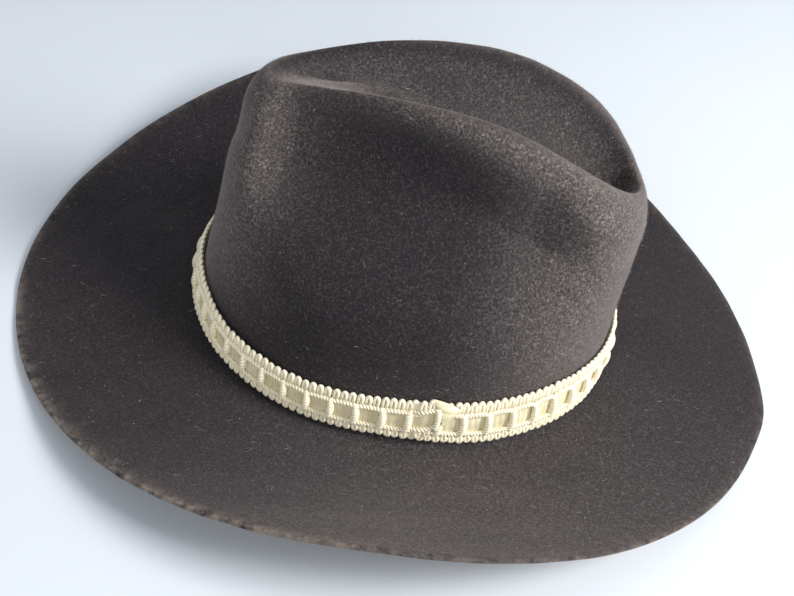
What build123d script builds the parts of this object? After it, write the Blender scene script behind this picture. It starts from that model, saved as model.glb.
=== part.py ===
"""A black felt cowboy hat: a pinched, dished crown, a rolled brim and an ivory gimp-braid band.

Millimetres.  +Z is up and the front of the hat faces -Y, so +X is the wearer's left.
The origin is under the middle of the brim, on the flat surface that the hat rests on.

The felt is one blocked shell.  Its outer face is a family of closed rings, one row after another
from the cut edge of the brim, up the crown wall, over the ridge and down into the dish, with a
smooth spline across the rows.  A place on it is an angle round the hat and a row number.
The other pieces are hoops that follow the crown wall, inside or outside it.
"""
import os
from math import cos, pi, sin

from build123d import *

os.makedirs("parts", exist_ok=True)

# ---- Driving dimensions, mm -----------------------------------------------------------------
felt_thickness = 2.2

# Crown where it meets the brim, an oval
crown_half_width = 88.0
crown_half_length = 104.0

crown_shift = (1.4, 1.5)    # the crown stands this far off the middle of the brim

# Brim edge: an oval that rolls up at the sides and dips at the front and back
brim_half_width = 172.0
brim_half_length = 190.5
brim_squareness = 0.011
brim_mean_rise = 14.3
brim_side_roll = 21.3
brim_roll_square = 3.3
brim_side_lean = -4.1
brim_twist = 3.9
brim_kink = -1.3
brim_cup = 1.7              # power of the rise across the brim, over 1 so that it curls up

# Ridge loop round the top of the crown
ridge_shift_y = 7.4
ridge_half_length = 88.6
ridge_half_width = 36.2
ridge_widening = 0.43       # wider at the back than at the front
ridge_squareness = 0.15
ridge_mean_height = 126.0
ridge_fall = 12.1           # lower at the back
ridge_sway = 12.9           # higher at the sides than at the front and back
ridge_ripple = 2.3

# Crown wall: share of the way in to the ridge loop that the wall leans by its top
lean_front = 0.64
lean_back = 0.31
# The side dents run between these two sines of the angle round the crown (-1 front, 1 back)
dent_front = (-0.93, -0.80)
dent_back = (0.42, 0.88)

# Dish between the ridges
dish_depth_front = 1.5
dish_depth_middle = 19.0
dish_depth_back = 17.0

# Hatband: gimp braid round the foot of the crown.  Heights are above the brim break, and
# distances are out from the felt.
band_gap = 0.6
backing_thickness = 0.6
backing_heights = (4.6, 6.2, 8.2, 13.5, 18.8, 22.2)
ribbon_thickness = 0.5
ribbon_heights = (8.2, 13.5, 18.8)
rope_diameter = 2.4
rope_heights = (7.0, 20.0)
picot_heights = ((2.4, 4.0, 5.5), (21.5, 24.8))
picot_thickness = 1.4
crossbar_count = 52
crossbar_size = (1.5, 2.0, 9.9)     # out from the felt, along the band, high
join_angle = 10.5                   # where the ends of the band meet, degrees from the left side
join_lap = 14.0                     # length of braid that lies over the other end
tail_length = 11.0
layer_gap = 0.25                    # between the layers of the braid

# Inside: distances are in from the outer face of the felt
lining_thickness = 0.4
# height, fall for each mm backwards, depth; the lining leaves the felt where the side dents are
lining_levels = (
    (30.0, 0.0, 2.7),
    (44.0, 0.03, 2.8),
    (57.0, 0.07, 3.2),
    (70.0, 0.12, 7.0),
    (84.0, 0.16, 10.0),
)
sweatband_depths = (3.9, 4.8)
sweatband_heights = (-1.0, 48.0)
reed_depths = (2.9, 4.5)
reed_heights = (-2.9, -1.2)
reed_tape_depths = (2.6, 3.2)
reed_tape_heights = (-1.0, 2.0, 5.0)
size_tag_depths = (2.9, 3.2)
size_tag_heights = (9.0, 23.0)
stitch_count = 72
stitch_height = 2.6
lining_tip_levels = ((1.0, 0.0), (0.8, 2.0), (0.5, 3.5), (0.1, 4.0))    # share of width, rise
piping_size = 1.2
back_tape_size = (0.8, 12.0, 43.0)
bow_loop_size = (1.8, 9.0, 5.5)
bow_knot_size = (2.6, 3.5, 4.5)
bow_height = 9.0


def ramp(t):
    """Smooth step from 0 to 1."""
    t = min(max(t, 0.0), 1.0)
    return t * t * (3 - 2 * t)


def mix(p, q, t):
    """The point a share t of the way from p to q."""
    return p + (q - p) * t


BRIM_ROWS = (1.0, 0.82, 0.64, 0.46, 0.30, 0.16, 0.06, 0.015)
# height share, lean of a plain wall, depth of the side dent, how far a soft ridge fills it
WALL_ROWS = (
    (0.07, 0.05, 0.00, 0.00),
    (0.20, 0.18, 0.04, 0.00),
    (0.34, 0.36, 0.10, 0.00),
    (0.46, 0.50, 0.17, 0.00),
    (0.58, 0.65, 0.50, 0.00),
    (0.69, 0.78, 0.86, 0.05),
    (0.78, 0.88, 1.00, 0.12),
    (0.87, 0.97, 1.04, 0.16),
    (0.94, 1.03, 1.03, 0.11),
)
# share of the way in, height share, dent depth, fill
CREST_ROWS = ((0.70, 0.985, 1.00, 0.035), (1.0, 1.008, 1.00, 0.00))
# share of the way to the crease line, share of the dish depth
DISH_ROWS = ((0.08, 0.0), (0.20, 0.16), (0.38, 0.52), (0.58, 0.82), (0.80, 0.97))


def control_column(angle):
    """The felt's control points at one angle, from the brim edge to the floor of the dish."""
    c = cos(angle)
    s = sin(angle)
    middle = Vector(*crown_shift, 0)
    base = middle + Vector(crown_half_width * c, crown_half_length * s, 0)
    edge_rise = (
        brim_mean_rise
        + brim_side_roll * cos(2 * angle)
        + brim_roll_square * cos(4 * angle)
        + brim_side_lean * c
        + brim_twist * sin(2 * angle)
        + brim_kink * cos(3 * angle)
    )
    reach = brim_half_width * (1 + brim_squareness * cos(2 * angle))
    edge = Vector(reach * c, brim_half_length * s, 0)
    column = [mix(base, edge, f) + Vector(0, 0, edge_rise * f**brim_cup) for f in BRIM_ROWS]

    height = (
        ridge_mean_height
        - ridge_fall * s
        + ridge_sway * cos(2 * angle)
        + ridge_ripple * sin(3 * angle)
    )
    half_width = ridge_half_width * (1 + ridge_widening * s - ridge_squareness * cos(2 * angle))
    ridge = middle + Vector(half_width * c, ridge_shift_y + ridge_half_length * s, 0)
    lean = lean_back + (lean_front - lean_back) * ramp((1 - s) / 2)
    soft = ramp((s + 0.4) / 0.8)
    nose = ramp((-s - 0.55) / 0.4)
    fade = 1 - ramp((s - dent_back[0]) / (dent_back[1] - dent_back[0]))

    for share, plain, dent, fill in WALL_ROWS:
        spread = 0.16 * ramp((0.75 - share) / 0.5)
        start = dent_front[0] + spread
        dented = fade * ramp((s - start) / (dent_front[1] - dent_front[0] + 2 * spread))
        inward = (1 - dented) * plain * lean + dented * (dent - fill * soft)
        if share > 0.72:
            share -= (0.4 * soft + 0.3 * nose) * (1 - share)
        column.append(mix(base, ridge, inward) + Vector(0, 0, share * height))

    dented = fade * ramp((s - dent_front[0]) / (dent_front[1] - dent_front[0]))
    for inward, share, dent, fill in CREST_ROWS:
        plain = lean + (1 - lean) * (inward - 0.3) / 0.7
        inward = (1 - dented) * plain + dented * (dent - fill * soft)
        share -= 1.2 * nose * (1.008 - share)
        column.append(mix(base, ridge, inward) + Vector(0, 0, share * height))

    back = ramp(s)
    reach = (0.70 + 0.12 * back) * ridge_half_length
    line = middle + Vector(0, ridge_shift_y + reach * s + 4 * (1 - s), 0)
    depth = dish_depth_middle
    depth += (dish_depth_front - dish_depth_middle) * ramp((-s - 0.1) / 0.9)
    depth += (dish_depth_back - dish_depth_middle) * ramp((s - 0.1) / 0.7)
    for inward, drop in DISH_ROWS:
        drop += 0.7 * back * (ramp(1.5 * inward) - drop)
        if inward < 0.3:
            inward += 0.07 * soft
        column.append(mix(ridge, line, inward) + Vector(0, 0, height - drop * depth))
    return column


def spline_point(column, row):
    """A point on the uniform cubic spline through a column; whole rows are its knots."""
    last = len(column) - 3
    j = min(int(row), last)
    t = row - j
    before = column[j - 1] if j else column[0] * 2 - column[1]
    return (
        before * (1 - t) ** 3
        + column[j] * (3 * t**3 - 6 * t**2 + 4)
        + column[j + 1] * (-3 * t**3 + 3 * t**2 + 3 * t + 1)
        + column[j + 2] * t**3
    ) / 6


nudge = 0.001                 # small step for slopes
wall_foot = 2.0               # pieces below this height keep its distance
columns = {}


def column_at(angle):
    """The control column at an angle, worked out once."""
    if angle not in columns:
        columns[angle] = control_column(angle)
    return columns[angle]


def felt_point(angle, row, depth=0.0):
    """A point a depth under the felt's outer face."""
    column = column_at(angle)
    point = spline_point(column, row)
    if not depth:
        return point
    last = len(column) - 2
    around = spline_point(column_at(angle + nudge), row) - spline_point(column_at(angle - nudge), row)
    low = max(row - nudge, 0)
    high = min(row + nudge, last)
    upward = spline_point(column, high) - spline_point(column, low)
    return point - around.cross(upward).normalized() * depth


def angles(count):
    return [2 * pi * i / count for i in range(count)]


def wall_point(angle, height, out=0.0, fall=0.0):
    """A point out from the crown wall, at a height above the brim break.

    With fall, the height is that of a plane that drops by fall for each mm backwards.
    """
    column = column_at(angle)
    low, high = 6.5, 16.0
    for _ in range(40):
        row = (low + high) / 2
        point = spline_point(column, row)
        if point.Z < max(height - fall * point.Y, wall_foot):
            low = row
        else:
            high = row
    outward = Vector(cos(angle) / crown_half_width, sin(angle) / crown_half_length, 0).normalized()
    x = point.X + outward.X * out
    y = point.Y + outward.Y * out
    return Vector(x, y, height - fall * y)


def ring_wire(points):
    """A smooth closed line through the points."""
    with BuildLine(mode=Mode.PRIVATE) as line:
        Spline(*points, periodic=True)
    return line.wire()


def hoop(levels, count=24):
    """A closed ring that follows the crown wall.

    A level is a height, how far out its inner and outer faces stand from the felt, and how
    much its plane falls for each mm backwards.
    """
    inner = [[wall_point(a, h, near, fall) for a in angles(count)] for h, near, far, fall in levels]
    outer = [[wall_point(a, h, far, fall) for a in angles(count)] for h, near, far, fall in levels]
    whole = Solid.make_loft([ring_wire(points) for points in outer], ruled=True)
    hole = Solid.make_loft([ring_wire(points) for points in inner], ruled=True)
    return whole - hole


def plain_hoop(heights, near, far):
    """A hoop with upright faces that keep to the wall's lean."""
    return hoop([(h, near, far, 0) for h in heights])


def rope_hoop(height, near, diameter):
    """A hoop with an eight-sided section, for a twisted cord."""
    r = diameter / 2
    cut = 0.41 * r
    middle = near + r
    return hoop([
        (height - r, middle - cut, middle + cut, 0),
        (height - cut, middle - r, middle + r, 0),
        (height + cut, middle - r, middle + r, 0),
        (height + r, middle - cut, middle + cut, 0),
    ])


def wall_location(angle, height, out):
    """A place on the wall: X points out from it, Y runs round the hat and Z runs up the wall."""
    around = wall_point(angle + nudge, height) - wall_point(angle - nudge, height)
    upward = wall_point(angle, height + 4) - wall_point(angle, max(height - 4, wall_foot))
    outward = around.cross(upward)
    return Plane(wall_point(angle, height, out), x_dir=outward, z_dir=upward).location


def arc_panel(heights, near, far, from_angle, to_angle, count=9):
    """A curved panel that leans with the wall, between two angles."""
    steps = [from_angle + (to_angle - from_angle) * i / (count - 1) for i in range(count)]
    outlines = []
    for height in heights:
        near_line = [tuple(wall_point(a, height, near))[:2] for a in steps]
        far_line = [tuple(wall_point(a, height, far))[:2] for a in reversed(steps)]
        with BuildSketch(Plane.XY.offset(height), mode=Mode.PRIVATE) as outline:
            with BuildLine():
                Spline(*near_line)
                Line(near_line[-1], far_line[0])
                Spline(*far_line)
                Line(far_line[-1], near_line[0])
            make_face()
        outlines.append(outline.sketch)
    return loft(outlines, ruled=True, mode=Mode.PRIVATE)


def save(piece, label):
    """Stand the piece on the resting surface and write it."""
    solid = Pos(0, 0, rest_height) * piece.part
    solid.label = label
    export_step(solid, f"parts/{label}.step")


# ---- Felt body ------------------------------------------------------------------------------
felt_count = 48
row_count = len(control_column(0)) - 2
# runs of rows: a run marked True is tightly curved and is made of narrow straight strips
felt_runs = ((0.0, 6.5, False), (6.5, 8.0, True), (8.0, 16.0, False), (16.0, 19.0, True))
felt_runs += ((19.0, row_count, False),)


def felt_ring(row, depth):
    return ring_wire([felt_point(a, row, depth) for a in angles(felt_count)])


def felt_skin(depth):
    """Every face of the felt at one depth, from the brim edge to the floor of the dish."""
    faces = []
    for start, stop, strips in felt_runs:
        steps = int((stop - start) * 2)
        rings = [felt_ring(start + i / 2, depth) for i in range(steps + 1)]
        faces += Shell.make_loft(rings, ruled=strips).faces()
    faces.append(Face.make_surface(felt_ring(row_count, depth).edges()))
    return faces


cut_edge = Shell.make_loft([felt_ring(0, 0), felt_ring(0, felt_thickness)], ruled=True)
underside = [felt_point(a, 0, felt_thickness).Z for a in angles(360)]
rest_height = -min(underside)

with BuildPart() as felt_body:
    add(Solid(Shell([*felt_skin(0), *felt_skin(felt_thickness), *cut_edge.faces()])))
save(felt_body, "felt_body")

# ---- Hatband --------------------------------------------------------------------------------
backing_face = band_gap + backing_thickness
ribbon_near = backing_face + layer_gap
ribbon_face = ribbon_near + ribbon_thickness
rope_near = backing_face + layer_gap
band_face = rope_near + rope_diameter

with BuildPart() as band_backing:
    add(plain_hoop(backing_heights, band_gap, backing_face))
save(band_backing, "band_backing")

with BuildPart() as band_ribbon:
    add(plain_hoop(ribbon_heights, ribbon_near, ribbon_face))
save(band_ribbon, "band_ribbon")

for name, height in zip(("lower", "upper"), rope_heights):
    with BuildPart() as rope:
        add(rope_hoop(height, rope_near, rope_diameter))
    save(rope, f"band_rope_{name}")

for name, heights in zip(("lower", "upper"), picot_heights):
    with BuildPart() as picot:
        add(plain_hoop(heights, rope_near, rope_near + picot_thickness))
    save(picot, f"band_picot_{name}")

bar_height = ribbon_heights[1]
bar_out = ribbon_face + layer_gap + 0.1 + crossbar_size[0] / 2
bar_angles = [a + pi / crossbar_count for a in angles(crossbar_count)]
with BuildPart() as band_crossbars:
    with Locations([wall_location(a, bar_height, bar_out) for a in bar_angles]):
        Box(*crossbar_size)
save(band_crossbars, "band_crossbars")

join = join_angle * pi / 180
lap = join_lap / crown_half_length
tail = tail_length / crown_half_length
tail_gap = 0.2 / crown_half_length
lap_near = band_face + layer_gap
with BuildPart() as band_lapped_end:
    add(arc_panel((5.0, 24.0), lap_near, lap_near + 2.0, join - lap, join))
save(band_lapped_end, "band_lapped_end")

with BuildPart() as band_folded_tail:
    add(arc_panel((11.0, 19.0), lap_near, lap_near + 1.2, join + tail_gap, join + tail))
save(band_folded_tail, "band_folded_tail")

stitch_out = lap_near + 2.0 + 0.5
with BuildPart() as band_join_stitches:
    for height in (8.0, 14.0, 20.0):
        with Locations(wall_location(join - lap / 2, height, stitch_out)):
            Box(0.5, 3.0, 0.7)
save(band_join_stitches, "band_join_stitches")

# ---- Inside ---------------------------------------------------------------------------------
with BuildPart() as sweatband:
    low, high = sweatband_heights
    inner, outer = -sweatband_depths[1], -sweatband_depths[0]
    add(hoop([(h, inner, outer, 0) for h in (low, wall_foot, 6, 12, 24, 36, high)]))
save(sweatband, "sweatband")

with BuildPart() as sweatband_reed:
    add(plain_hoop(reed_heights, -reed_depths[1], -reed_depths[0]))
save(sweatband_reed, "sweatband_reed")

with BuildPart() as reed_tape:
    add(plain_hoop(reed_tape_heights, -reed_tape_depths[1], -reed_tape_depths[0]))
save(reed_tape, "reed_tape")

with BuildPart() as sweatband_stitching:
    out = -sweatband_depths[1] - 0.4
    with Locations([wall_location(a, stitch_height, out) for a in angles(stitch_count)]):
        Box(0.5, 3.2, 0.6)
save(sweatband_stitching, "sweatband_stitching")

with BuildPart() as size_tag:
    add(arc_panel(size_tag_heights, -size_tag_depths[1], -size_tag_depths[0], 1.70, 1.92))
save(size_tag, "size_tag")

with BuildPart() as sweatband_back_tape:
    back_tape_out = -sweatband_depths[1] - 0.4 - back_tape_size[0] / 2
    with Locations(wall_location(pi / 2, 24.0, back_tape_out)):
        Box(*back_tape_size)
save(sweatband_back_tape, "sweatband_back_tape")

with BuildPart() as sweatband_bow:
    bow_out = back_tape_out - back_tape_size[0] / 2 - bow_knot_size[0] / 2 - 0.4
    bow_place = wall_location(pi / 2, bow_height, bow_out)
    with Locations(bow_place):
        Box(*bow_knot_size)
        with Locations((0, -6, 0), (0, 6, 0)):
            Box(*bow_loop_size)
save(sweatband_bow, "sweatband_bow")

with BuildPart() as lining_side:
    add(hoop([(h, -d - lining_thickness, -d, fall) for h, fall, d in lining_levels]))
save(lining_side, "lining_side")

top_height, top_fall, top_depth = lining_levels[-1]
top_depth += 0.6
top_middle = Vector(crown_shift[0], crown_shift[1] + ridge_shift_y, 0)
top_middle.Z = top_height - top_fall * top_middle.Y


def tip_dome(drop):
    """The lining's tip as a solid dome, lowered by drop."""
    rim = [wall_point(a, top_height, -top_depth, top_fall) for a in angles(24)]
    rings = []
    for share, rise in lining_tip_levels:
        lift = Vector(0, 0, rise - drop)
        rings.append(ring_wire([mix(top_middle, p, share) + lift for p in rim]))
    return Solid.make_loft(rings, ruled=True)


with BuildPart() as lining_tip:
    add(tip_dome(0))
    add(tip_dome(lining_thickness), mode=Mode.SUBTRACT)
save(lining_tip, "lining_tip")

with BuildPart() as lining_piping:
    low = top_height - piping_size - 1.2
    near = -top_depth - piping_size
    add(hoop([(h, near, near + piping_size, top_fall) for h in (low, low + piping_size)]))
save(lining_piping, "lining_piping")
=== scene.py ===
"""A black felt cowboy hat with an ivory gimp-braid band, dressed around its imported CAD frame.

Shapes are worked out in millimetres from the middle of the crown's foot, at the height of the
brim break, and placed in the frame in metres at the end.  Angles run round the hat from the
wearer's left (+X) towards the back (+Y).
"""

import math

import bpy
import numpy as np
from mathutils import Matrix, Vector


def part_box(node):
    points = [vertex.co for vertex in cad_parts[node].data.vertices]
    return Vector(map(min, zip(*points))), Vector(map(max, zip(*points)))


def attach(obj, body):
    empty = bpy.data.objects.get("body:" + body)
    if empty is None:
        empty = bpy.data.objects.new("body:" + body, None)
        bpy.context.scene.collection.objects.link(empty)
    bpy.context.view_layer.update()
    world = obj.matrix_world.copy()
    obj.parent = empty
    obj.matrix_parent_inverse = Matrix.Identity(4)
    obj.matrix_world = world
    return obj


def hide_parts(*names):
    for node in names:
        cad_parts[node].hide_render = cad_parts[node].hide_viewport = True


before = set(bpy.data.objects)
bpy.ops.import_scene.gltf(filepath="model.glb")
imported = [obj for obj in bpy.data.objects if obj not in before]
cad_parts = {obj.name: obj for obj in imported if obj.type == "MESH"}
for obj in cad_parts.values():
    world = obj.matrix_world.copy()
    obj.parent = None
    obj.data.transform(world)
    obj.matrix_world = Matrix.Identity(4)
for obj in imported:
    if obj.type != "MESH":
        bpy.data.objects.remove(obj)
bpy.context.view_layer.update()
rng = np.random.default_rng(7)

# ---- The felt's driving dimensions, mm, as the CAD model has them ----
FELT = 2.2
CROWN_SHIFT = (1.4, 1.5)
CROWN = (88.0, 104.0)
BRIM = (172.0, 190.5)
BRIM_SQUARENESS = 0.011
BRIM_MEAN_RISE = 14.3
BRIM_SIDE_ROLL = 21.3
BRIM_ROLL_SQUARE = 3.3
BRIM_SIDE_LEAN = -4.1
BRIM_TWIST = 3.9
BRIM_KINK = -1.3
BRIM_CUP = 1.7
RIDGE_SHIFT_Y = 7.4
RIDGE = (36.2, 88.6)
RIDGE_WIDENING = 0.43
RIDGE_SQUARENESS = 0.15
RIDGE_HEIGHT = 126.0
RIDGE_FALL = 12.1
RIDGE_SWAY = 12.9
RIDGE_RIPPLE = 2.3
LEAN = (0.64, 0.31)                     # front, back
DENT_FRONT = (-0.93, -0.80)
DENT_BACK = (0.42, 0.88)
DISH_DEPTH = (1.5, 19.0, 17.0)          # front, middle, back
# The edge also stands out at one place, which the CAD edge doesn't: degrees, width, mm
BRIM_BULGE = (78, 7, 2.2)

# share of the way out, one row after another
BRIM_ROWS = (1.0, 0.82, 0.64, 0.46, 0.30, 0.16, 0.06, 0.015)
# height share, lean of a plain wall, depth of the side dent, how far a soft ridge fills it
WALL_ROWS = (
    (0.07, 0.05, 0.00, 0.00),
    (0.20, 0.18, 0.04, 0.00),
    (0.34, 0.36, 0.10, 0.00),
    (0.46, 0.50, 0.17, 0.00),
    (0.58, 0.65, 0.50, 0.00),
    (0.69, 0.78, 0.86, 0.05),
    (0.78, 0.88, 1.00, 0.12),
    (0.87, 0.97, 1.04, 0.16),
    (0.94, 1.03, 1.03, 0.11),
)
# share of the way in, height share, dent depth, fill
CREST_ROWS = ((0.70, 0.985, 1.00, 0.035), (1.0, 1.008, 1.00, 0.00))
# share of the way to the crease line, share of the dish depth
DISH_ROWS = ((0.08, 0.0), (0.20, 0.16), (0.38, 0.52), (0.58, 0.82), (0.80, 0.97), (1.0, 1.0))

_, band_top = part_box("band_backing")
BACKING = (4.6, 22.2)                   # edges of the braid's backing, above the brim break
BREAK_Z = band_top.z * 1000 - BACKING[1]    # height of the brim break above the floor
# Rows of the surface at the foot of the crown, at the start of the dish and on the ridges
FOOT_ROW = len(BRIM_ROWS)
DISH_ROW = FOOT_ROW + len(WALL_ROWS) + len(CREST_ROWS)
CREST_ROW = DISH_ROW - 0.8


# ---- Small helpers ----
def ramp(t):
    """Smooth step from 0 to 1."""
    t = np.clip(t, 0, 1)
    return t * t * (3 - 2 * t)


def bell(x, middle, width):
    """A smooth bump, 1 at the middle and fading to nothing."""
    return np.exp(-(((x - middle) / width) ** 2))


def unit(vectors):
    return vectors / np.linalg.norm(vectors, axis=-1)[..., None]


def row_points(x, y, z):
    """Points from their x, y and z, any of which may be one number for all."""
    return np.stack(np.broadcast_arrays(x, y, z), -1).astype(float)


def to_frame(points):
    """Crown millimetres to frame metres."""
    return (np.asarray(points) + (*CROWN_SHIFT, BREAK_Z)) / 1000


def new_object(name, data):
    """An object of the scene around some mesh, light or camera data."""
    made = bpy.data.objects.new(name, data)
    bpy.context.scene.collection.objects.link(made)
    return made


def new_piece(name, points, faces, body, slot, material, replaces=None):
    """A mesh object in the frame that rides on a body, in place of its CAD node.

    The node is the one with the piece's own name, unless replaces lists others.
    """
    mesh = bpy.data.meshes.new(name)
    mesh.from_pydata(to_frame(points).tolist(), [], [tuple(f) for f in faces])
    mesh.update()
    mesh.polygons.foreach_set("use_smooth", [True] * len(mesh.polygons))
    mesh.materials.append(material)
    label = f"dressed_{name}" if name in bpy.data.objects else name
    piece = new_object(label, mesh)
    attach(piece, body)
    if replaces is None:
        replaces = [name]
    if replaces:
        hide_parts(*replaces)
    return piece


def grid_faces(rows, columns, closed=True, start=0):
    """Quads of a grid whose points are numbered row by row."""
    r = np.arange(rows - 1)[:, None]
    c = np.arange(columns if closed else columns - 1)[None, :]
    a = start + r * columns + c
    b = start + r * columns + (c + 1) % columns
    return np.stack([a, b, b + columns, a + columns], -1).reshape(-1, 4)


def join_rings(first, second, columns):
    """Quads between two rings, each given by the number of its first point."""
    here = np.arange(columns)
    after = (here + 1) % columns
    return np.stack([first + here, first + after, second + after, second + here], -1).tolist()


def hoop_faces(rings, columns):
    """Quads of a grid that closes both ways."""
    return grid_faces(rings, columns).tolist() + join_rings((rings - 1) * columns, 0, columns)


def slab(front, rear):
    """A thin closed shape between two open grids of points."""
    rows, columns = front.shape[:2]
    n = rows * columns
    faces = grid_faces(rows, columns, False).tolist()
    faces += [f[::-1] for f in grid_faces(rows, columns, False, n).tolist()]
    rim = [*range(columns), *range(2 * columns - 1, n, columns)]
    rim += [*range(n - 2, n - columns - 1, -1), *range(n - 2 * columns, 0, -columns)]
    faces += [[b, a, a + n, b + n] for a, b in zip(rim, rim[1:] + rim[:1])]
    return np.concatenate([front.reshape(-1, 3), rear.reshape(-1, 3)]), faces


class Parts:
    """Gathers points and faces of many small shapes into one piece."""

    def __init__(self):
        self.points = []
        self.faces = []
        self.count = 0

    def add(self, points, faces):
        self.points.append(points)
        self.faces.extend([i + self.count for i in face] for face in faces)
        self.count += len(points)

    def all_points(self):
        return np.concatenate(self.points)

    def made(self, name, body, slot, material, replaces=None):
        return new_piece(name, self.all_points(), self.faces, body, slot, material, replaces)


def directions(path, hint, closed):
    """Unit directions square to a path at each point: one near the hint, and one square to that."""
    if closed:
        along = unit(np.roll(path, -1, 0) - np.roll(path, 1, 0))
    else:
        along = unit(np.gradient(path, axis=0))
    across = unit(hint - (hint * along).sum(1)[:, None] * along)
    return across, np.cross(along, across)


def tube(path, radius, hint, sides, closed=False):
    """A tube along a path; hint is a direction across it at each point."""
    across, other = directions(path, hint, closed)
    turn = np.arange(sides) * 2 * math.pi / sides
    radius = np.broadcast_to(radius, len(path))[:, None, None]
    ring = np.cos(turn)[None, :, None] * across[:, None] + np.sin(turn)[None, :, None] * other[:, None]
    points = (path[:, None] + radius * ring).reshape(-1, 3)
    n = len(path)
    if closed:
        return points, hoop_faces(n, sides)
    start_cap = list(range(sides))[::-1]
    end_cap = list(range((n - 1) * sides, n * sides))
    return points, [*grid_faces(n, sides).tolist(), start_cap, end_cap]


# ---- The felt's surface ----
def control_rows(angle):
    """Rows of control points for every angle, from the brim edge to the floor of the dish."""
    c = np.cos(angle)
    s = np.sin(angle)
    base = row_points(CROWN[0] * c, CROWN[1] * s, 0)
    rise = BRIM_MEAN_RISE + BRIM_SIDE_ROLL * np.cos(2 * angle) + BRIM_ROLL_SQUARE * np.cos(4 * angle)
    rise += BRIM_SIDE_LEAN * c + BRIM_TWIST * np.sin(2 * angle) + BRIM_KINK * np.cos(3 * angle)
    reach = BRIM[0] * (1 + BRIM_SQUARENESS * np.cos(2 * angle))
    edge = row_points(reach * c - CROWN_SHIFT[0], BRIM[1] * s - CROWN_SHIFT[1], 0)
    corner = bell(np.degrees(angle), *BRIM_BULGE[:2]) * BRIM_BULGE[2]
    edge[:, 0] += corner * c
    edge[:, 1] += corner * s
    rows = []
    for share in BRIM_ROWS:
        row = base + share * (edge - base)
        row[:, 2] = rise * share**BRIM_CUP
        rows.append(row)
    height = RIDGE_HEIGHT - RIDGE_FALL * s + RIDGE_SWAY * np.cos(2 * angle)
    height += RIDGE_RIPPLE * np.sin(3 * angle)
    half_width = RIDGE[0] * (1 + RIDGE_WIDENING * s - RIDGE_SQUARENESS * np.cos(2 * angle))
    ridge = row_points(half_width * c, RIDGE_SHIFT_Y + RIDGE[1] * s, 0)
    lean = LEAN[1] + (LEAN[0] - LEAN[1]) * ramp((1 - s) / 2)
    soft = ramp((s + 0.4) / 0.8)
    nose = ramp((-s - 0.55) / 0.4)
    fade = 1 - ramp((s - DENT_BACK[0]) / (DENT_BACK[1] - DENT_BACK[0]))
    for share, plain, dent, fill in WALL_ROWS:
        spread = 0.16 * ramp((0.75 - share) / 0.5)
        start = DENT_FRONT[0] + spread
        dented = fade * ramp((s - start) / (DENT_FRONT[1] - DENT_FRONT[0] + 2 * spread))
        inward = (1 - dented) * plain * lean + dented * (dent - fill * soft)
        if share > 0.72:
            share = share - (0.4 * soft + 0.3 * nose) * (1 - share)
        row = base + inward[:, None] * (ridge - base)
        row[:, 2] = share * height
        rows.append(row)
    dented = fade * ramp((s - DENT_FRONT[0]) / (DENT_FRONT[1] - DENT_FRONT[0]))
    for inward, share, dent, fill in CREST_ROWS:
        plain = lean + (1 - lean) * (inward - 0.3) / 0.7
        inward = (1 - dented) * plain + dented * (dent - fill * soft)
        row = base + inward[:, None] * (ridge - base)
        row[:, 2] = (share - 1.2 * nose * (1.008 - share)) * height
        rows.append(row)
    back = ramp(s)
    line = row_points(0, RIDGE_SHIFT_Y + (0.70 + 0.12 * back) * RIDGE[1] * s + 4 * (1 - s), 0)
    depth = DISH_DEPTH[1] + (DISH_DEPTH[0] - DISH_DEPTH[1]) * ramp((-s - 0.1) / 0.9)
    depth += (DISH_DEPTH[2] - DISH_DEPTH[1]) * ramp((s - 0.1) / 0.7)
    for inward, drop in DISH_ROWS:
        drop = drop + 0.7 * back * (ramp(1.5 * inward) - drop)
        if inward < 0.3:
            inward = inward + 0.07 * soft
        row = ridge + np.reshape(inward, (-1, 1)) * (line - ridge)
        row[:, 2] = height - drop * depth
        rows.append(row)
    across = rows[-2].copy()
    across[:, 0] *= -1
    rows.append(across)
    rows.insert(0, 2 * rows[0] - rows[1])
    return np.array(rows)


def spline_rows(control, rows):
    """Points on the uniform cubic spline across the rows; whole numbers are its knots."""
    rows = np.asarray(rows, float)
    j = np.minimum(rows.astype(int), len(control) - 4)
    t = (rows - j)[:, None, None]
    w = ((1 - t) ** 3, 3 * t**3 - 6 * t**2 + 4, -3 * t**3 + 3 * t**2 + 3 * t + 1, t**3)
    return sum(w[k] * control[j + k] for k in range(4)) / 6


def grid_normals(grid):
    """Outward unit normals of a grid of closed rings."""
    around = np.roll(grid, -1, 1) - np.roll(grid, 1, 1)
    upward = np.gradient(grid, axis=0)
    normal = np.cross(around, upward)
    return normal / np.maximum(np.linalg.norm(normal, axis=-1), 1e-9)[..., None]


COLUMNS = 480
PER_ROW = 8
angle_fine = np.arange(COLUMNS) * 2 * math.pi / COLUMNS
degrees_fine = np.degrees(angle_fine)
control = control_rows(angle_fine)
ROWS = len(control) - 3
row_fine = np.arange(ROWS * PER_ROW + 1) / PER_ROW
outer = spline_rows(control, row_fine)


def hand_shaping(grid):
    """Slow dents and waves that no former leaves: nothing at the band, a little elsewhere."""
    x, y, z = grid[..., 0], grid[..., 1], grid[..., 2]
    free = ramp(np.abs(row_fine[:, None] - FOOT_ROW) / 3.0 - 0.5)
    wave = 0.45 * np.sin(x / 23 + 1.1) * np.sin(y / 31 + z / 17)
    wave += 0.30 * np.sin(x / 11 - z / 13 + 0.6) * np.sin(y / 14 + 2.0)
    wave += 0.12 * np.sin(x / 5.3 + y / 6.1) * np.sin(z / 4.7 - y / 7.9 + 1.0)
    return wave * (free * np.minimum(1, (ROWS - row_fine[:, None]) / 2))


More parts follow.
